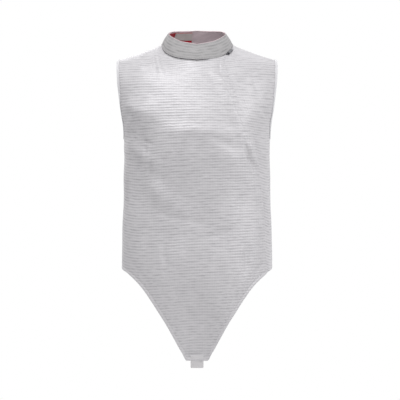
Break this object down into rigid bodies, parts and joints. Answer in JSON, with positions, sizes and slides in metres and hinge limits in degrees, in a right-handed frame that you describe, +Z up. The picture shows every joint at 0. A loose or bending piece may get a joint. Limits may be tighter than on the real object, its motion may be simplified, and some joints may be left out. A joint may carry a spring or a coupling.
{
  "type": "electric foil jacket",
  "caption": "Sleeveless metal-woven fencing jacket in its worn form, with a standing collar, a diagonal zip closure under a flap and a pointed front apron",
  "frame": {"origin": "the middle of the neck, level with the tops of the shoulders", "axes": "+Z is up, -Y is the front of the jacket, +X is the wearer's left"},
  "size_m": [0.3952, 0.2607, 0.8229],
  "materials": {
    "lame": "metal thread weave with a soft sheen",
    "lining": "matte",
    "crimson": "matte",
    "label": "satin",
    "binding": "satin tape",
    "webbing": "matte webbing",
    "tape": "matte",
    "zip_metal": "dark plated"
  },
  "bodies": {
    "garment": {"front_panel": "lame", "left_side_panel": "lame", "back_panel": "lame", "collar": "lame", "collar_lining": "lining", "neck_patch": "crimson", "neck_label": "label", "armhole_binding_left": "binding", "armhole_binding_right": "binding", "tip_tab": "webbing", "front_zip": "tape", "zip_slider": "zip_metal"},
    "zip_pull": {"zip_pull": "zip_metal"}
  },
  "joints": [
    {"name": "zip_pull_hinge", "type": "hinge", "parent": "garment", "child": "zip_pull", "pos_m": [0.07656, -0.0492, -0.01968], "axis": [0.8576, -0.1248, -0.499], "range_deg": [0, 100]}
  ]
}
